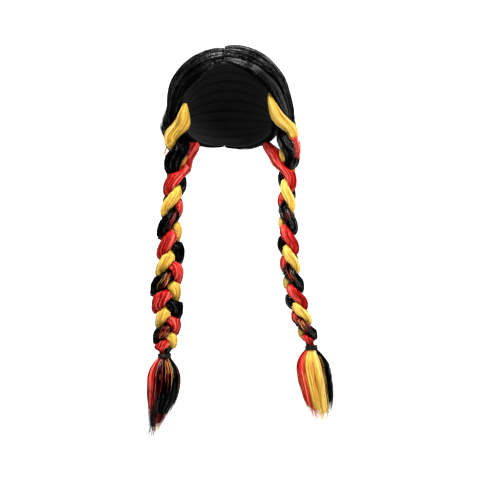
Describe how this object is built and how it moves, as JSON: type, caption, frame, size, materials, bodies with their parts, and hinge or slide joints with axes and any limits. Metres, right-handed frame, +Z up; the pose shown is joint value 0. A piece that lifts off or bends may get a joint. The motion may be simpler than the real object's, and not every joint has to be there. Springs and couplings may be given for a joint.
{
  "type": "pigtail wig",
  "caption": "Adult wig with a middle parting, black hair drawn behind each ear, and a long plait of black, red and yellow hair on each side, tied above a loose tail.",
  "frame": {"origin": "top of the hollow inside the cap, where the crown of the head touches it", "axes": "+Z up, -Y towards the wearer's front, +X towards the wearer's left"},
  "size_m": [0.2976, 0.188, 0.6296],
  "materials": {
    "cap_net": "matte stretch net",
    "scalp": "matte",
    "hair_black": "silky synthetic fibre",
    "hair_red": "silky synthetic fibre",
    "hair_yellow": "silky synthetic fibre",
    "elastic": "matte"
  },
  "bodies": {
    "root": {"wig_cap": "cap_net", "parting_strip": "scalp", "crown_hair_left": "hair_black", "crown_hair_right": "hair_black", "plait_left_black": "hair_black", "plait_left_red": "hair_red", "plait_left_yellow": "hair_yellow", "plait_right_black": "hair_black", "plait_right_red": "hair_red", "plait_right_yellow": "hair_yellow", "hair_tie_left": "elastic", "hair_tie_right": "elastic", "tail_left_black": "hair_black", "tail_left_red": "hair_red", "tail_left_yellow": "hair_yellow", "tail_right_black": "hair_black", "tail_right_red": "hair_red", "tail_right_yellow": "hair_yellow"}
  },
  "joints": []
}
